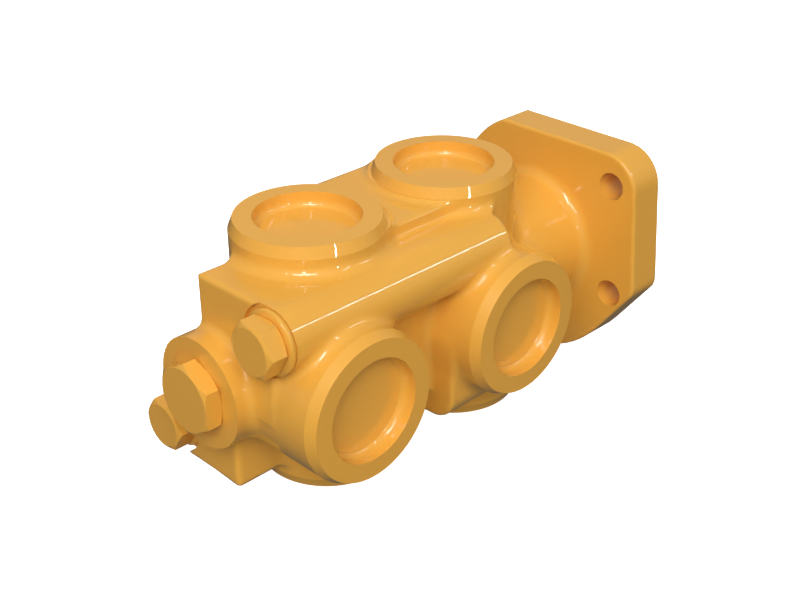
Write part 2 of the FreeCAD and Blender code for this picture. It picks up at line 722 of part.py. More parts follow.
for thing in doc.Objects:
    if "Invalid" in thing.State or "Error" in thing.State:
        raise ValueError("%s did not compute: %s" % (thing.Name, thing.State))
for name, thing in NODES.items():
    if thing.Shape.isNull() or not thing.Shape.isValid() or not thing.Shape.Solids:
        raise ValueError("%s has no valid solid" % name)

os.makedirs("parts", exist_ok=True)
for name, thing in NODES.items():
    thing.Shape.exportStep("parts/%s.step" % name)
    print(name, len(thing.Shape.Solids), round(thing.Shape.Volume, 1))
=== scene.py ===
import math

import bmesh
import bpy
import numpy as np
from mathutils import Matrix, Quaternion, Vector


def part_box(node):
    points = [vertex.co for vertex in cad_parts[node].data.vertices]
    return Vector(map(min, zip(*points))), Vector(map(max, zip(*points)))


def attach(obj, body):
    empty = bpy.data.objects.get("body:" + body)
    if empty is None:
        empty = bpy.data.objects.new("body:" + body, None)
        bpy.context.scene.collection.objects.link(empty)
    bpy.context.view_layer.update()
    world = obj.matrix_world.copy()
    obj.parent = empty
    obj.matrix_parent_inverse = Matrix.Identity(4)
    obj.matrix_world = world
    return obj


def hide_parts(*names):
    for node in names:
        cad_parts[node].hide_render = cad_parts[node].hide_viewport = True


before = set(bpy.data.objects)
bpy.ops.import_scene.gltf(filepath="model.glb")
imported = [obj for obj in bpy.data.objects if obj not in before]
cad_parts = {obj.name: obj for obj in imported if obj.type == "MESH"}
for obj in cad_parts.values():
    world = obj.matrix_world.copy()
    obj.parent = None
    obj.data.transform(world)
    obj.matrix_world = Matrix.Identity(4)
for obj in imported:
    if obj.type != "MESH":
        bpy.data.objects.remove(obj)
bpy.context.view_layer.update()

# Valve body: one iron casting with flange, neck, six port bosses, two arms with gallery ribs and
# two bossed blocks. The skin keeps its casting fillets; faces, recesses and bores are machined.
# It is sprayed orange-yellow all over except for the mounting face and the working bores.
MM = 0.001
# Sizes in mm. The valve's axis is x, nought at the mounting face and negative towards the plugs.
SKIN_STEP, SKIN_MARGIN, SETTLING_ROUNDS = 1.0, 3.0, 3
MACHINING_STOCK = 1.0
PORT_RADIUS, PORT_REACH, PORT_FILLET, SIDE_PORT_FILLET = 26.0, 47.0, 4.0, 3.5
NEAR_PORT, FAR_PORT = -68.65, -133.0
NEAR_BOTTOM_PORT, FAR_BOTTOM_PORT = -62.3, -126.65
NEAR_SIDE_PORT, FAR_SIDE_PORT = -75.0, -148.7
ARM_END, ARM_TOP, ARM_EDGE, ARM_FILLET = -172.6, 37.4, 0.5, 2.0
UPPER_ARM = {"back": 7.7, "corner": 0.6, "brow": 0.9, "lean": -0.013}
LOWER_ARM = {"back": 6.3, "corner": 1.8, "brow": 0.5, "lean": 0.026}
WEB_START, WEB_SIDE = -73.0, -12.0
RIB_SIDE, RIB_RISE, RIB_RADIUS, RIB_START = 27.0, 26.4, 11.0, -74.0
MIDDLE_HALF, MIDDLE_START, MIDDLE_EDGE = 24.5, -65.0, 1.0
PAD_FRONT, PAD_BACK, PAD_FLOOR, PAD_TOP = -19.0, 25.6, 20.0, 42.0
PAD_EDGE, PAD_FILLET = 1.0, 1.5
BLOCK_START, BLOCK_END, BLOCK_SIDE, BLOCK_DROP = -99.5, -60.0, 34.7, 34.6
BLOCK_CORNER, BLOCK_EDGE, BLOCK_FILLET = 10.0, 1.2, 1.5
BOSS_FACE, BOSS_RADIUS, BOSS_FILLET = -180.8, 19.3, 2.8
NECK_RADIUS, NECK_START, NECK_FILLET = 25.0, -73.0, 4.3
FLANGE_THICKNESS, FLANGE_EDGE, FLANGE_NEAR = 15.0, 0.7, 8.0
FLANGE_CORNERS = [(18.4, 43.4, 0.6), (-44.5, 43.4, 14), (-48.75, -9.8, 7), (-19.2, -48.7, 44),
                  (44.5, -48.7, 14), (48.75, 9.8, 7), (27, 38.5, 36)]


def rounded_outline(corners, turn_step=0.1):
    """Points round a polygon whose corners (y, z, radius) are replaced by arcs."""
    outline = []
    for i, (y, z, radius) in enumerate(corners):
        corner = Vector((y, z))
        before = (Vector(corners[i - 1][:2]) - corner).normalized()
        after = (Vector(corners[(i + 1) % len(corners)][:2]) - corner).normalized()
        half = before.angle(after) / 2
        centre = corner + (before + after).normalized() * radius / math.sin(half)
        start = corner + before * radius / math.tan(half) - centre
        sweep = start.angle_signed(corner + after * radius / math.tan(half) - centre)
        steps = max(2, round(abs(sweep) / turn_step))
        for step in range(steps + 1):
            spoke = start.copy()
            spoke.rotate(Matrix.Rotation(-sweep * step / steps, 2))
            outline.append(centre + spoke)
    return np.array(outline)


FLANGE_OUTLINE = rounded_outline(FLANGE_CORNERS)


def slab(p, low, high, edge):
    """Distance to a block between two corners, with its edges rounded."""
    centre = (np.array(low) + high) / 2
    out = np.abs(p - centre) - (np.array(high) - low) / 2 + edge
    return np.linalg.norm(np.maximum(out, 0), axis=-1) + np.minimum(out.max(axis=-1), 0) - edge


def capped(side, along, edge):
    """Distance to a shape from the distances to its side and its ends, edges rounded."""
    side, along = side + edge, along + edge
    outside = np.hypot(np.maximum(side, 0), np.maximum(along, 0))
    return outside + np.minimum(np.maximum(side, along), 0) - edge


def rod(p, axis, centre, radius, low, high, edge=0.0):
    """Distance to a round bar along one axis."""
    across = [i for i in range(3) if i != axis]
    side = np.hypot(p[..., across[0]] - centre[0], p[..., across[1]] - centre[1]) - radius
    return capped(side, np.abs(p[..., axis] - (low + high) / 2) - (high - low) / 2, edge)


def plate(p):
    """Distance to the flange plate, worked out only where the flange is near."""
    distance = np.full(p.shape[:-1], FLANGE_THICKNESS)
    near = p[..., 0] > -FLANGE_THICKNESS - FLANGE_NEAR
    if not near.any():
        return distance
    x, y, z = p[near].T
    nearest = np.full(y.shape, np.inf)
    inside = np.zeros(y.shape, bool)
    for (ay, az), (by, bz) in zip(FLANGE_OUTLINE, np.roll(FLANGE_OUTLINE, -1, axis=0)):
        ey, ez, wy, wz = by - ay, bz - az, y - ay, z - az
        t = np.clip((wy * ey + wz * ez) / (ey * ey + ez * ez + 1e-12), 0, 1)
        nearest = np.minimum(nearest, (wy - ey * t) ** 2 + (wz - ez * t) ** 2)
        inside ^= ((az <= z) != (bz <= z)) & ((ey * wz > ez * wy) == (bz > az))
    side = np.where(inside, -1, 1) * np.sqrt(nearest)
    middle = (MACHINING_STOCK - FLANGE_THICKNESS) / 2
    distance[near] = capped(side, np.abs(x - middle) - FLANGE_THICKNESS - middle, FLANGE_EDGE)
    return distance


def filleted(a, b, fillet):
    """Two shapes joined, with a round casting fillet between them."""
    outside = np.maximum(fillet, np.minimum(a, b))
    return outside - np.hypot(np.maximum(fillet - a, 0), np.maximum(fillet - b, 0))


def met(a, b, edge):
    """What two shapes share, with the edge where they meet rounded."""
    return -filleted(-a, -b, edge)


def arm(p, back, corner, brow, lean):
    """An arm: its back face, the radii of its upright edge and of the edge along the top of its
    end, and how its top slopes."""
    x, y, z = np.moveaxis(p, -1, 0)
    end, top = ARM_END - x, z - ARM_TOP - lean * (y + RIB_SIDE)
    wall = met(met(end, y - back, corner), top, ARM_EDGE)
    wall = np.maximum(wall, np.maximum(np.maximum(x - FAR_PORT, -RIB_SIDE - y), -z))
    web = slab(p, (ARM_END, -RIB_SIDE, RIB_RISE), (WEB_START, WEB_SIDE, ARM_TOP + 1), ARM_EDGE)
    web = np.maximum(web, top)
    rib = rod(p, 0, (-RIB_SIDE, RIB_RISE), RIB_RADIUS, ARM_END, RIB_START, ARM_EDGE)
    return np.maximum(np.minimum(np.minimum(wall, web), rib), met(end, top, brow))


def bossed_block(p):
    """A block beside a near port, with one long corner rounded."""
    x, y, z = np.moveaxis(p, -1, 0)
    across = np.maximum(met(-BLOCK_SIDE - y, -BLOCK_DROP - z, BLOCK_CORNER), np.maximum(y, z))
    along = np.abs(x - (BLOCK_START + BLOCK_END) / 2) - (BLOCK_END - BLOCK_START) / 2
    return capped(across, along, BLOCK_EDGE)


def casting(p):
    """Distance in mm to the skin as cast, negative inside the iron."""
    half_turned = p * np.array([1, -1, -1])
    d = np.minimum(
        slab(p, (FAR_PORT, -MIDDLE_HALF, -MIDDLE_HALF), (MIDDLE_START, MIDDLE_HALF, MIDDLE_HALF),
             MIDDLE_EDGE),
        rod(p, 0, (0, 0), NECK_RADIUS, NECK_START, -FLANGE_THICKNESS / 2))
    d = filleted(d, plate(p), NECK_FILLET)
    d = filleted(d, arm(p, **UPPER_ARM), ARM_FILLET)
    d = filleted(d, arm(half_turned, **LOWER_ARM), ARM_FILLET)
    boss_start = BOSS_FACE - MACHINING_STOCK
    d = filleted(d, rod(p, 0, (0, 0), BOSS_RADIUS, boss_start, FAR_PORT), BOSS_FILLET)
    for place in (p, half_turned):
        d = filleted(d, bossed_block(place), BLOCK_FILLET)
    pad = slab(p, (FAR_PORT, PAD_FRONT, PAD_FLOOR), (NEAR_PORT, PAD_BACK, PAD_TOP), PAD_EDGE)
    d = filleted(d, pad, PAD_FILLET)
    reach = PORT_REACH + MACHINING_STOCK
    for above, below in ((NEAR_PORT, NEAR_BOTTOM_PORT), (FAR_PORT, FAR_BOTTOM_PORT)):
        d = filleted(d, rod(p, 2, (above, 0), PORT_RADIUS, 0, reach), PORT_FILLET)
        d = filleted(d, rod(p, 2, (below, 0), PORT_RADIUS, -reach, 0), PORT_FILLET)
    for x in (NEAR_SIDE_PORT, FAR_SIDE_PORT):
        d = filleted(d, rod(p, 1, (x, 0), PORT_RADIUS, -reach, 0), SIDE_PORT_FILLET)
    return d


def slope(distance, points, reach=0.02):
    """Which way the distance grows at each point."""
    steps = np.eye(3) * reach
    return np.stack([distance(points + s) - distance(points - s) for s in steps], 1) / (2 * reach)


def skin_mesh(distance, low, high, step):
    """Corners and four-sided faces of the surface where the distance is nought."""
    count = np.ceil((np.array(high) - low) / step).astype(int) + 1
    x, y, z = (start + step * np.arange(n) for start, n in zip(low, count))
    grid = np.stack(np.meshgrid(y, z, indexing="ij"), -1)
    field = np.empty(count)
    for i, place in enumerate(x):
        field[i] = distance(np.concatenate([np.full(grid.shape[:2] + (1,), place), grid], -1))
    inside = field < 0
    corners = [(i, j, k) for i in (0, 1) for j in (0, 1) for k in (0, 1)]

    def at(array, corner):
        return array[tuple(slice(c, n - 1 + c) for c, n in zip(corner, array.shape))]

    full = sum(at(inside, c).astype(int) for c in corners)
    active = (full > 0) & (full < 8)
    cells = np.argwhere(active)
    number = np.full(active.shape, -1)
    number[active] = np.arange(len(cells))
    value = {c: at(field, c)[active] for c in corners}
    total, crossings = np.zeros((len(cells), 3)), np.zeros(len(cells))
    for c in corners:
        for axis in range(3):
            if c[axis]:
                continue
            end = tuple(v + (i == axis) for i, v in enumerate(c))
            crossed = (value[c] < 0) != (value[end] < 0)
            share = np.where(crossed, value[c] / np.where(crossed, value[c] - value[end], 1), 0)
            point = np.tile(np.array(c, float), (len(cells), 1))
            point[:, axis] += share
            total += point * crossed[:, None]
            crossings += crossed
    points = np.array(low) + step * (cells + total / crossings[:, None])
    for _ in range(SETTLING_ROUNDS):
        rise = slope(distance, points)
        move = np.clip(distance(points), -step / 2, step / 2) / np.maximum((rise ** 2).sum(1), 0.25)
        points -= rise * move[:, None]
    faces = []
    for axis in range(3):
        solid, cell = np.moveaxis(inside, axis, 0), np.moveaxis(number, axis, 0)
        i, j, k = np.argwhere(solid[:-1] != solid[1:]).T
        face = np.stack([cell[i, j - 1, k - 1], cell[i, j, k - 1], cell[i, j, k],
                         cell[i, j - 1, k]], 1)
        backwards = solid[i, j, k] == (axis == 1)
        face[backwards] = face[backwards][:, ::-1]
        faces.append(face)
    return points, np.concatenate(faces)


def new_object(name, points, faces, finishes, finish_of_face=None):
    """An object in metres from points in mm, smooth shaded."""
    mesh = bpy.data.meshes.new(name)
    mesh.from_pydata((np.array(points) * MM).tolist(), [], [list(map(int, f)) for f in faces])
    for finish in finishes:
        mesh.materials.append(finish)
    if finish_of_face is not None:
        mesh.polygons.foreach_set("material_index", finish_of_face)
    mesh.shade_smooth()
    mesh.validate()
    thing = bpy.data.objects.new(name, mesh)
    bpy.context.scene.collection.objects.link(thing)
    return thing


def face_outwards(thing):
    """Turn every face of a closed shape outwards."""
    shell = bmesh.new()
    shell.from_mesh(thing.data)
    bmesh.ops.recalc_face_normals(shell, faces=shell.faces)
    shell.to_mesh(thing.data)
    shell.free()


def turned(name, profile, place, into, finishes, finish_of_step=None, around=128):
    """A turned solid. Its profile gives (depth along into, radius) in mm, axis to axis."""
    into = Vector(into)
    across = into.orthogonal().normalized()
    upright = into.cross(across)
    points, rings, faces, kinds = [], [], [], []
    for depth, radius in profile:
        middle = Vector(place) + into * depth
        first = len(points)
        if radius == 0:
            points.append(middle)
            rings.append([first] * around)
        else:
            for n in range(around):
                a = 2 * math.pi * n / around
                points.append(middle + (across * math.cos(a) + upright * math.sin(a)) * radius)
            rings.append(range(first, first + around))
    for step, (one, two) in enumerate(zip(rings, rings[1:])):
        for n in range(around):
            m = (n + 1) % around
            face = list(dict.fromkeys((one[n], two[n], two[m], one[m])))
            if len(face) > 2:
                faces.append(face)
                kinds.append(finish_of_step[step] if finish_of_step else 0)
    thing = new_object(name, points, faces, finishes, kinds)
    face_outwards(thing)
    return thing


def arc(depth, radius, size, start, end, steps=6):
    """Profile points on an arc of that size about (depth, radius), in degrees."""
    turns = [math.radians(start + (end - start) * n / steps) for n in range(steps + 1)]
    return [(depth + size * math.sin(a), radius + size * math.cos(a)) for a in turns]


def applied(thing):
    """Make what the modifiers give the object's own mesh."""
    view = bpy.context.evaluated_depsgraph_get()
    result = bpy.data.meshes.new_from_object(thing.evaluated_get(view))
    thing.modifiers.clear()
    thing.data = result


def machined(thing, tools, operation="DIFFERENCE"):
    """Cut the tools out of a casting, each tool face giving its finish to the cut."""
    for tool in tools:
        cut = thing.modifiers.new(tool.name, "BOOLEAN")
        cut.operation, cut.solver, cut.material_mode = operation, "MANIFOLD", "TRANSFER"
        cut.object = tool
    applied(thing)
    for tool in tools:
        bpy.data.objects.remove(tool)


def crisp_edges(thing, angle=20):
    """Sharp edges where machining meets the skin, and between machined faces."""
    shell = bmesh.new()
    shell.from_mesh(thing.data)
    limit = math.radians(angle)
    for edge in shell.edges:
        if len(edge.link_faces) == 2:
            one, two = (face.material_index for face in edge.link_faces)
            edge.smooth = one == two and (one == 0 or edge.calc_face_angle() < limit)
    shell.to_mesh(thing.data)
    shell.free()


class Wire:
    """A shader socket that can be written in sums."""

    def __init__(self, socket):
        self.socket = socket

    @staticmethod
    def node(tree, kind, settings, sockets, out=0):
        """A node of any kind: its settings first, then values or wires for its sockets."""
        made = tree.nodes.new(kind)
        for name, value in settings.items():
            setattr(made, name, value)
        for name, value in sockets.items():
            if isinstance(value, Wire):
                tree.links.new(value.socket, made.inputs[name])
            else:
                made.inputs[name].default_value = value
        return Wire(made.outputs[out])

    def worked(self, operation, other):
        """One sum with this wire first."""
        return Wire.node(self.socket.id_data, "ShaderNodeMath", {"operation": operation},
                         {0: self, 1: other})

    def __add__(self, other):
        return self.worked("ADD", other)

    __radd__ = __add__

    def __mul__(self, other):
        return self.worked("MULTIPLY", other)

    __rmul__ = __mul__

    def __lt__(self, other):
        return self.worked("LESS_THAN", other)

    def __gt__(self, other):
        return self.worked("GREATER_THAN", other)


def new_finish(name):
    """A material, its node tree and the wire of the place on the object in metres."""
    finish = bpy.data.materials.new(name)
    finish.use_nodes = True
    tree = finish.node_tree
    place = Wire.node(tree, "ShaderNodeTexCoord", {}, {}, out="Object")
    return finish, tree, place


def noise(tree, place, scale, detail, roughness=0.5):
    """Soft random mottling, its scale in 1/m."""
    return Wire.node(tree, "ShaderNodeTexNoise", {}, {
        "Vector": place, "Scale": scale, "Detail": detail, "Roughness": roughness})


def mixed(tree, share, first, second):
    """One colour going over into another."""
    return Wire.node(tree, "ShaderNodeMix", {"data_type": "RGBA"}, {
        "Factor": share, 6: first, 7: second}, out=2)


def relief(tree, height):
    """The surface made uneven by a height in metres."""
    return Wire.node(tree, "ShaderNodeBump", {}, {
        "Height": height, "Strength": 1.0, "Distance": 1.0})


def dress(tree, constants, wires):
    """Set the shader's own sockets: what is the same all over, then what varies."""
    shader = tree.nodes["Principled BSDF"]
    for name, value in constants.items():
        shader.inputs[name].default_value = value
    for name, wire in wires.items():
        tree.links.new(wire.socket, shader.inputs[name])


PAINT_LIGHT = (0.915, 0.462, 0.065, 1)
PAINT_DEEP = (0.895, 0.437, 0.057, 1)
PAINT_GLOSS = {"Specular IOR Level": 0.25, "Coat Weight": 1.0, "Coat Roughness": 0.04,
               "Coat IOR": 1.5}


def paint(name, peel, peel_height, sand_height):
    """Glossy paint over iron: peel size in 1/m, peel and sand height in m."""
    finish, tree, place = new_finish(name)
    cloud = noise(tree, place, scale=18.0, detail=3.0)
    ripple = noise(tree, place, scale=peel, detail=1.0, roughness=0.4)
    sand = noise(tree, place, scale=1400.0, detail=2.0, roughness=0.6)
    dress(tree, PAINT_GLOSS, {
        "Base Color": mixed(tree, cloud, PAINT_DEEP, PAINT_LIGHT),
        "Roughness": 0.4 + cloud * 0.08,
        "Normal": relief(tree, ripple * peel_height + sand * sand_height)})
    return finish


TOOL_MARK_STRETCH = (1.0, 0.04, 0.04)


def metal(name, light, dark, roughness, marks, height):
    """Bare machined metal with fine tool marks: marks in 1/m, height in m."""
    finish, tree, place = new_finish(name)
    cloud = noise(tree, place, scale=60.0, detail=4.0, roughness=0.6)
    stretched = Wire.node(tree, "ShaderNodeVectorMath", {"operation": "MULTIPLY"}, {
        0: place, 1: TOOL_MARK_STRETCH})
    lines = noise(tree, stretched, scale=marks, detail=2.0)
    dress(tree, {"Metallic": 1.0}, {
        "Base Color": mixed(tree, cloud, dark, light),
        "Roughness": roughness + cloud * 0.12,
        "Normal": relief(tree, lines * height)})
    return finish


CAST_PAINT = paint("cast_paint", 260.0, 0.000012, 0.000003)
MACHINED_PAINT = paint("machined_paint", 260.0, 0.000006, 0.0000008)
BARE_IRON = metal("bare_iron", (0.50, 0.49, 0.47, 1), (0.38, 0.37, 0.36, 1), 0.28, 3000.0,
                  0.000002)
BODY_FINISHES = [CAST_PAINT, MACHINED_PAINT, BARE_IRON]
PAINTED, BARE = 1, 2

# Ports: the bevelled face and the recess are painted, and the bore behind them is bare. Each
# cutting tool is turned to a profile of depths and radii, from the face that it enters.
OVERSHOOT, BOLT_OVERSHOOT = 3.0, 2.0
BEVEL_DEPTH, BEVEL_WIDTH, BESIDE_PORT = 3.76, 1.53, 34.0
RECESS_RADIUS, RECESS_DEPTH, RECESS_FILLET, RECESS_TURN = 18.03, 5.4, 3.26, 60
PLUG_HOLE_RADIUS, PLUG_HOLE_DEPTH, PASSAGE_RADIUS, RIM_DROP = 16.4, 13.4, 3.0, 0.02
PORTS = {"top_near": ((NEAR_PORT, 0, PORT_REACH), (0, 0, -1)),
         "top_far": ((FAR_PORT, 0, PORT_REACH), (0, 0, -1)),
         "bottom_near": ((NEAR_BOTTOM_PORT, 0, -PORT_REACH), (0, 0, 1)),
         "bottom_far": ((FAR_BOTTOM_PORT, 0, -PORT_REACH), (0, 0, 1)),
         "side_near": ((NEAR_SIDE_PORT, -PORT_REACH, 0), (0, 1, 0)),
         "side_far": ((FAR_SIDE_PORT, -PORT_REACH, 0), (0, 1, 0))}
PORT_FACE = [(-OVERSHOOT, 0), (-OVERSHOOT, BESIDE_PORT), (BEVEL_DEPTH, BESIDE_PORT),
             (BEVEL_DEPTH, PORT_RADIUS), (0, PORT_RADIUS - BEVEL_WIDTH), (0, RECESS_RADIUS)]
RECESS = arc(RECESS_DEPTH - RIM_DROP - RECESS_FILLET * math.sin(math.radians(RECESS_TURN)),
             RECESS_RADIUS - RECESS_FILLET, RECESS_FILLET, 0, RECESS_TURN, steps=10)
PORT_BORE = [(PLUG_HOLE_DEPTH, PLUG_HOLE_RADIUS), (PLUG_HOLE_DEPTH, PASSAGE_RADIUS),
             (PORT_REACH, PASSAGE_RADIUS), (PORT_REACH, 0)]
tools = []
for name, (place, into) in PORTS.items():
    painted = PORT_FACE + RECESS
    tools.append(turned("port_cut_" + name, painted + PORT_BORE, place, into, BODY_FINISHES,
                        [PAINTED] * (len(painted) - 1) + [BARE] * len(PORT_BORE)))

# Main bore: the register, the bush's bore with its ring groove, the spring chamber, the spools'
# bore and the end plug's thread. The tool also faces the flange and the end boss.
BEYOND_FLANGE = 80.0
REGISTER_RADIUS, REGISTER_DEPTH = 24.0, 2.5
BUSH_RADIUS, BUSH_DEPTH = 19.0, 18.0
RING_RADIUS, RING_START, RING_END = 20.33, 4.0, 5.3
CHAMBER_RADIUS, CHAMBER_DEPTH = 15.5, 52.0
SPOOL_RADIUS, SPOOL_DEPTH = 9.0, 164.0
END_THREAD_RADIUS, END_SEAT, END_SEAT_RADIUS = 10.2, 180.6, 14.7
BEYOND_BOSS, BESIDE_BOSS = 184.0, 24.0
MAIN_BORE = [(-OVERSHOOT, 0), (-OVERSHOOT, BEYOND_FLANGE), (0, BEYOND_FLANGE),
             (0, REGISTER_RADIUS), (REGISTER_DEPTH, REGISTER_RADIUS),
             (REGISTER_DEPTH, BUSH_RADIUS), (RING_START, BUSH_RADIUS), (RING_START, RING_RADIUS),
             (RING_END, RING_RADIUS), (RING_END, BUSH_RADIUS), (BUSH_DEPTH, BUSH_RADIUS),
             (BUSH_DEPTH, CHAMBER_RADIUS), (CHAMBER_DEPTH, CHAMBER_RADIUS),
             (CHAMBER_DEPTH, SPOOL_RADIUS), (SPOOL_DEPTH, SPOOL_RADIUS),
             (SPOOL_DEPTH, END_THREAD_RADIUS), (END_SEAT, END_THREAD_RADIUS)]
END_FACING = [(END_SEAT, END_SEAT_RADIUS), (-BOSS_FACE, END_SEAT_RADIUS),
              (-BOSS_FACE, BESIDE_BOSS), (BEYOND_BOSS, BESIDE_BOSS), (BEYOND_BOSS, 0)]
tools.append(turned("main_bore", MAIN_BORE + END_FACING, (0, 0, 0), (-1, 0, 0), BODY_FINISHES,
                    [BARE] * (len(MAIN_BORE) - 1) + [PAINTED] * len(END_FACING)))

# Galleries: each rib has a spotface, a thread and a long drilling, which a cross drilling joins to
# the port beside it.
GALLERIES = {"upper": {"side": -RIB_SIDE, "rise": RIB_RISE, "seat": 1.5, "port": FAR_PORT},
             "lower": {"side": RIB_SIDE, "rise": -RIB_RISE, "seat": 3.7, "port": FAR_BOTTOM_PORT}}
SPOT_RADIUS, PLUG_THREAD_RADIUS, PLUG_THREAD_DEPTH = 12.4, 5.2, 16.0
GALLERY_RADIUS, GALLERY_LENGTH, CROSS_RADIUS, CROSS_LENGTH = 3.5, 80.0, 2.5, 25.5
for name, gallery in GALLERIES.items():
    side, rise, seat = gallery["side"], gallery["rise"], gallery["seat"]
    bore = [(-OVERSHOOT, 0), (-OVERSHOOT, SPOT_RADIUS), (seat, SPOT_RADIUS),
            (seat, PLUG_THREAD_RADIUS), (seat + PLUG_THREAD_DEPTH, PLUG_THREAD_RADIUS),
            (seat + PLUG_THREAD_DEPTH, GALLERY_RADIUS), (GALLERY_LENGTH, GALLERY_RADIUS),
            (GALLERY_LENGTH, 0)]
    tools.append(turned("gallery_" + name, bore, (ARM_END, side, rise), (1, 0, 0),
                        BODY_FINISHES, [PAINTED] * 3 + [BARE] * 4))
    cross = [(0, 0), (0, CROSS_RADIUS), (CROSS_LENGTH, CROSS_RADIUS), (CROSS_LENGTH, 0)]
    tools.append(turned("cross_" + name, cross, (gallery["port"], side, rise),
                        (0, -math.copysign(1, side), 0), BODY_FINISHES, [BARE] * 3, around=32))

# Bolt holes: four plain holes through the flange, two and two half a turn apart.
BOLT_HOLES = [(-35.0, 31.0), (-37.9, -12.6), (35.0, -31.0), (37.9, 12.6)]
BOLT_HOLE_RADIUS = 5.25
BOLT_HOLE = [(-BOLT_OVERSHOOT, 0), (-BOLT_OVERSHOOT, BOLT_HOLE_RADIUS),
             (FLANGE_THICKNESS + OVERSHOOT, BOLT_HOLE_RADIUS), (FLANGE_THICKNESS + OVERSHOOT, 0)]
for n, (side, rise) in enumerate(BOLT_HOLES):
    tools.append(turned("bolt_hole_%d" % n, BOLT_HOLE, (0, side, rise), (-1, 0, 0),
                        BODY_FINISHES, [PAINTED] * 3, around=64))

# The skin is made in a box a little larger than the casting, and all the tools cut it.
low = [BOSS_FACE - MACHINING_STOCK, FLANGE_OUTLINE[:, 0].min(), FLANGE_OUTLINE[:, 1].min()]
high = [MACHINING_STOCK, FLANGE_OUTLINE[:, 0].max(), PORT_REACH + MACHINING_STOCK]
low, high = np.array(low) - SKIN_MARGIN, np.array(high) + SKIN_MARGIN
body = new_object("body_casting", *skin_mesh(casting, low, high, SKIN_STEP), BODY_FINISHES)
machined(body, tools)
crisp_edges(body)
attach(body, "valve")
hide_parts("valve_body")

# Port plugs: six flat iron discs pressed into the port recesses and painted over with the body,
# so the recess looks like one smooth cup. Each has a rubber seal in a groove round its rim.
DISC_RADIUS, DISC_FLAT_RADIUS = 16.37, 16.1
GROOVE_RADIUS, GROOVE_START, GROOVE_END = 14.57, 7.4, 9.3
DISC_PROFILE = [(RECESS_DEPTH, 0), (RECESS_DEPTH, DISC_FLAT_RADIUS),
                (RECESS_DEPTH - RIM_DROP, DISC_RADIUS), (GROOVE_START, DISC_RADIUS),
                (GROOVE_START, GROOVE_RADIUS), (GROOVE_END, GROOVE_RADIUS),
                (GROOVE_END, DISC_RADIUS), (PLUG_HOLE_DEPTH, DISC_RADIUS), (PLUG_HOLE_DEPTH, 0)]
RUBBER_BLACK, RUBBER_BLOOM = (0.012, 0.012, 0.013, 1), (0.03, 0.03, 0.032, 1)


def rubber(name):
    """Black sealing rubber, dull, with a faint mould bloom."""
    finish, tree, place = new_finish(name)
    bloom = noise(tree, place, scale=400.0, detail=4.0, roughness=0.6)
    dress(tree, {}, {"Base Color": mixed(tree, bloom, RUBBER_BLACK, RUBBER_BLOOM),
                     "Roughness": 0.55 + bloom * 0.2})
    return finish


def refinish(node, finish):
    """Give a solid that keeps its own shape a better finish."""
    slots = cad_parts[node].data.materials
    slots.clear()
    slots.append(finish)


RUBBER = rubber("seal_rubber")
for name, (place, into) in PORTS.items():
    disc = turned("port_disc_" + name, DISC_PROFILE, place, into, [MACHINED_PAINT, BARE_IRON],
                  [0, 0, 1, 1, 1, 1, 1, 1])
    crisp_edges(disc)
    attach(disc, "valve")
    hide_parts("port_plug_" + name)
    refinish("port_seal_" + name, RUBBER)

# End plug: a hexagon plug turned from bar, chamfered at both ends of its head, screwed into the
# end boss against a rubber seal and sprayed with the body. Its inner end is hollowed.
END_PLUG_FACE, END_PLUG_FLATS, END_PLUG_CIRCLE, END_PLUG_HEAD = -187.0, 22.5, 11.2, 6.4
END_SHANK_RADIUS, END_SHANK_END = 10.17, 20.4
END_GROOVE_RADIUS, END_GROOVE_START, END_GROOVE_END = 8.37, 10.4, 12.3
END_HOLLOW_RADIUS, END_HOLLOW_START = 6.4, 18.4
HEAD_CHAMFER_TURN, SEAT_CHAMFER_SHARE, CORNER_CLEARANCE = 30, 0.8, 0.1
PLUG_PAINT = paint("plug_paint", 320.0, 0.000006, 0.0000005)
PLUG_FINISHES = [PLUG_PAINT, BARE_IRON]


def head_profile(flats, circle, height):
    """The chamfered ends of a hexagon head, from the front to its seat."""
    corner = flats / math.sqrt(3) + CORNER_CLEARANCE
    drop = (corner - circle) * math.tan(math.radians(HEAD_CHAMFER_TURN))
    return [(0, 0), (0, circle), (drop, corner), (height - drop * SEAT_CHAMFER_SHARE, corner),
            (height, circle)]


def hexagon_plug(name, flats, head, shank, place, turn, edge):
    """A plug: a hexagon bar turned to the profiles of its painted head and its bare shank. The
    bar is turned round by some degrees, and the paint rounds its edges by so many mm."""
    profile = head + shank
    bar_start, bar_end = -1, profile[-1][0] + 2
    corner = flats / math.sqrt(3)
    points = []
    for depth in (bar_start, bar_end):
        for n in range(6):
            a = math.radians(60 * n + turn)
            points.append((place[0] + depth, place[1] + corner * math.sin(a),
                           place[2] + corner * math.cos(a)))
    faces = [[n, (n + 1) % 6, (n + 1) % 6 + 6, n + 6] for n in range(6)]
    faces += [list(range(6))[::-1], list(range(6, 12))]
    bar = new_object(name, points, faces, PLUG_FINISHES)
    face_outwards(bar)
    kinds = [0] * len(head) + [1] * (len(shank) - 1)
    machined(bar, [turned(name + "_turning", profile, place, (1, 0, 0), PLUG_FINISHES, kinds,
                          around=96)], "INTERSECT")
    worn = bar.modifiers.new("paint_edge", "BEVEL")
    worn.width, worn.segments, worn.limit_method = edge * MM, 2, "ANGLE"
    worn.angle_limit = math.radians(18)
    worn.harden_normals = True
    applied(bar)
    return bar


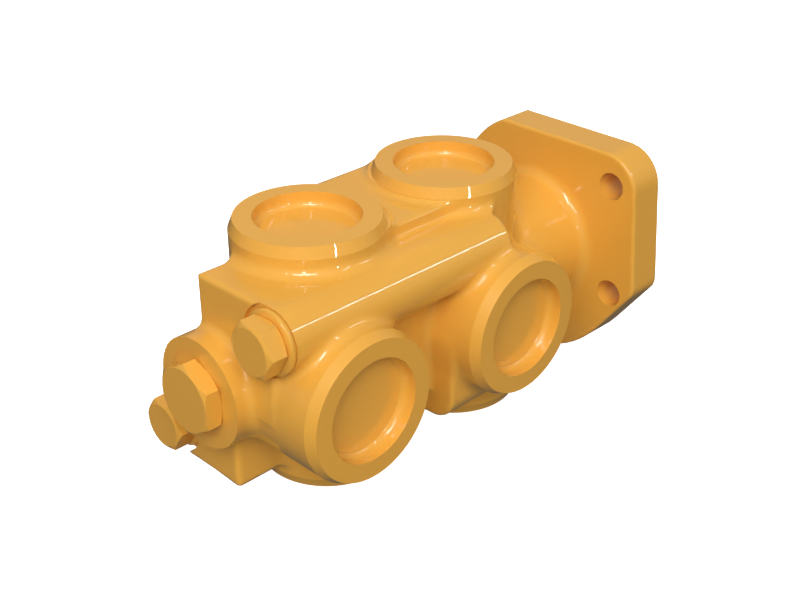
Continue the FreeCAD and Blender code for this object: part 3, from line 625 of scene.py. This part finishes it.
END_SHANK = [(END_PLUG_HEAD, END_SHANK_RADIUS), (END_GROOVE_START, END_SHANK_RADIUS),
             (END_GROOVE_START, END_GROOVE_RADIUS), (END_GROOVE_END, END_GROOVE_RADIUS),
             (END_GROOVE_END, END_SHANK_RADIUS), (END_SHANK_END, END_SHANK_RADIUS),
             (END_SHANK_END, END_HOLLOW_RADIUS), (END_HOLLOW_START, END_HOLLOW_RADIUS),
             (END_HOLLOW_START, 0)]
end_plug = hexagon_plug("end_plug_head", END_PLUG_FLATS,
                        head_profile(END_PLUG_FLATS, END_PLUG_CIRCLE, END_PLUG_HEAD), END_SHANK,
                        (END_PLUG_FACE, 0, 0), turn=0, edge=0.25)
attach(end_plug, "valve")
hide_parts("end_plug")
refinish("end_plug_seal", RUBBER)

# Gallery plugs: two small steel hexagon plugs that close the drilled galleries at the ends of the
# ribs. Each is screwed down on a flat washer in its spotface, and sprayed with the body.
GALLERY_FLATS, GALLERY_CIRCLE, GALLERY_HEAD, GALLERY_TURN = 17.0, 7.85, 7.6, 30
GALLERY_SHANK_RADIUS, GALLERY_SHANK_END = 5.17, 21.6
WASHER_THICKNESS, WASHER_RADIUS, WASHER_HOLE, WASHER_CHAMFER = 2.0, 10.8, 5.2, 0.25
HOLE_CHAMFER_START, HOLE_CHAMFER_END = 5.3, 5.5
GALLERY_SHANK = [(GALLERY_HEAD, GALLERY_SHANK_RADIUS), (GALLERY_SHANK_END, GALLERY_SHANK_RADIUS),
                 (GALLERY_SHANK_END, 0)]
WASHER_PROFILE = [(WASHER_CHAMFER, WASHER_HOLE), (WASHER_CHAMFER, HOLE_CHAMFER_START),
                  (0, HOLE_CHAMFER_END), (0, WASHER_RADIUS - WASHER_CHAMFER),
                  (WASHER_CHAMFER, WASHER_RADIUS),
                  (WASHER_THICKNESS, WASHER_RADIUS), (WASHER_THICKNESS, WASHER_HOLE),
                  (WASHER_CHAMFER, WASHER_HOLE)]
for name, gallery in GALLERIES.items():
    side, rise, floor_x = gallery["side"], gallery["rise"], ARM_END + gallery["seat"]
    plug = hexagon_plug("gallery_hexagon_" + name, GALLERY_FLATS,
                        head_profile(GALLERY_FLATS, GALLERY_CIRCLE, GALLERY_HEAD), GALLERY_SHANK,
                        (floor_x - (WASHER_THICKNESS + GALLERY_HEAD), side, rise),
                        turn=GALLERY_TURN, edge=0.2)
    washer = turned("gallery_seal_disc_" + name, WASHER_PROFILE,
                    (floor_x - WASHER_THICKNESS, side, rise), (1, 0, 0), PLUG_FINISHES)
    crisp_edges(washer)
    for piece, node in ((plug, "gallery_plug_"), (washer, "gallery_washer_")):
        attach(piece, "valve")
        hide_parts(node + name)

# Plunger end: a bronze guide bush held by a spring steel ring, with a rubber wiper and seal, and
# the ground steel plunger that the push rod moves. All of it is inside the mounting face.
BRONZE = metal("bronze", (0.62, 0.44, 0.22, 1), (0.50, 0.33, 0.15, 1), 0.25, 3500.0, 0.000002)
GROUND_STEEL = metal("ground_steel", (0.62, 0.62, 0.63, 1), (0.50, 0.50, 0.52, 1), 0.16, 5000.0,
                     0.000001)
SPRING_STEEL = metal("spring_steel", (0.26, 0.26, 0.27, 1), (0.17, 0.17, 0.18, 1), 0.3, 4000.0,
                     0.000002)
refinish("guide_bush", BRONZE)
refinish("snap_ring", SPRING_STEEL)
refinish("plunger", GROUND_STEEL)
for node in ("plunger_seal", "wiper_seal"):
    refinish(node, RUBBER)

# Spools and springs: two ground steel spools in the main bore, with a spring between them and one
# behind them. The plunger works them through a steel seat and two coiled regulating springs.
for node in ("spring_seat", "primary_spool", "secondary_spool"):
    refinish(node, GROUND_STEEL)
for node in ("regulating_spring_outer", "regulating_spring_inner", "middle_spring",
             "return_spring"):
    refinish(node, SPRING_STEEL)

# Floor: a plain white table top, level with the lower edge of the valve's flange. It glows white
# to the camera only, so it throws no light and no colour back on the paint.
floor_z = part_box("valve_body")[0].z
FLOOR_HALF = 4.0
floor_mesh = bpy.data.meshes.new("floor")
floor_mesh.from_pydata([(sx * FLOOR_HALF, sy * FLOOR_HALF, floor_z)
                        for sx, sy in ((-1, -1), (1, -1), (1, 1), (-1, 1))], [], [(0, 1, 2, 3)])
floor = bpy.data.objects.new("floor", floor_mesh)
bpy.context.scene.collection.objects.link(floor)
floor_finish, floor_tree, floor_place = new_finish("floor_white")
floor_cloud = noise(floor_tree, floor_place, scale=3.0, detail=2.0)
dress(floor_tree, {"Base Color": (0.8, 0.8, 0.8, 1), "Emission Color": (1, 1, 1, 1),
                   "Emission Strength": 1.0, "Specular IOR Level": 0.0},
      {"Roughness": 0.8 + floor_cloud * 0.1})
floor.visible_diffuse = floor.visible_glossy = False
floor_mesh.materials.append(floor_finish)

# Light: a pale room, darker below the table's height where the gloss mirrors it, and soft lamps.
# Broad ones light the paint, and small ones give it the highlights along its fillets.
ROOM_PALE, ROOM_BELOW, ROOM_STRENGTH = (1, 1, 1, 1), (0.4, 0.36, 0.3, 1), 0.262
world = bpy.data.worlds.new("studio")
world.use_nodes = True
room = world.node_tree
direction = Wire.node(room, "ShaderNodeTexCoord", {}, {}, out="Generated")
upward = Wire.node(room, "ShaderNodeSeparateXYZ", {}, {0: direction}, out="Z")
mirrored = Wire.node(room, "ShaderNodeLightPath", {}, {}, out="Is Glossy Ray")
glow = mixed(room, (upward < 0.0) * mirrored, ROOM_PALE, ROOM_BELOW)
room.links.new(glow.socket, room.nodes["Background"].inputs["Color"])
room.nodes["Background"].inputs["Strength"].default_value = ROOM_STRENGTH
bpy.context.scene.world = world

AIM = Vector((-0.1, 0, 0))
SOFT_DISTANCE, SPARK_DISTANCE = 2.5, 1.2


def lamp(name, azimuth, height, distance, size, watts, roll=0):
    """A lamp aimed at the valve: azimuth in degrees from -Y towards +X, height above level."""
    a, e = math.radians(azimuth), math.radians(height)
    light = bpy.data.lights.new(name, "AREA")
    light.shape, light.size, light.size_y, light.energy = "RECTANGLE", size[0], size[1], watts
    holder = bpy.data.objects.new(name, light)
    holder.location = AIM + distance * Vector((
        math.sin(a) * math.cos(e), -math.cos(a) * math.cos(e), math.sin(e)))
    aimed = (AIM - holder.location).to_track_quat("-Z", "Y")
    holder.rotation_euler = (aimed @ Quaternion((0, 0, 1), math.radians(roll))).to_euler()
    bpy.context.scene.collection.objects.link(holder)
    return holder


for soft in (lamp("key", -45, 40, SOFT_DISTANCE, (1.8, 1.2), 49),
             lamp("overhead", 0, 90, SOFT_DISTANCE, (1, 1), 8),
             lamp("rear", 135, 30, SOFT_DISTANCE, (0.6, 0.6), 14)):
    soft.visible_glossy = False
for sparkle in (lamp("spark_front", -4, 17, SPARK_DISTANCE, (0.03, 0.12), 0.7),
                lamp("spark_left", -50, 52, SPARK_DISTANCE, (0.5, 0.12), 5),
                lamp("spark_strip", -50, 35, SPARK_DISTANCE, (0.06, 0.35), 1.3),
                lamp("spark_rib", 43, 30.4, SPARK_DISTANCE, (0.36, 0.045), 1.0, roll=-24),
                lamp("spark_neck", 14, 40, SPARK_DISTANCE, (0.04, 0.5), 0.8),
                lamp("spark_side", -77, 43, SPARK_DISTANCE, (0.03, 0.1), 0.6)):
    sparkle.visible_diffuse = False

# Camera: it looks down on the plug end and along the side ports, from the photograph's place. The
# plain view keeps the paint's full colour.
CAMERA_PLACE = Vector((-0.37721, -0.28581, 0.21893))
CAMERA_LOOK = Vector((0.62222, 0.62035, -0.4775))
LENS, SENSOR, NEAREST = 57.25, 36.0, 0.01
camera = bpy.data.objects.new("camera", bpy.data.cameras.new("camera"))
camera.data.lens, camera.data.sensor_width, camera.data.clip_start = LENS, SENSOR, NEAREST
camera.location = CAMERA_PLACE
camera.rotation_euler = CAMERA_LOOK.to_track_quat("-Z", "Y").to_euler()
bpy.context.scene.collection.objects.link(camera)
bpy.context.scene.camera = camera
bpy.context.scene.view_settings.view_transform = "Standard"
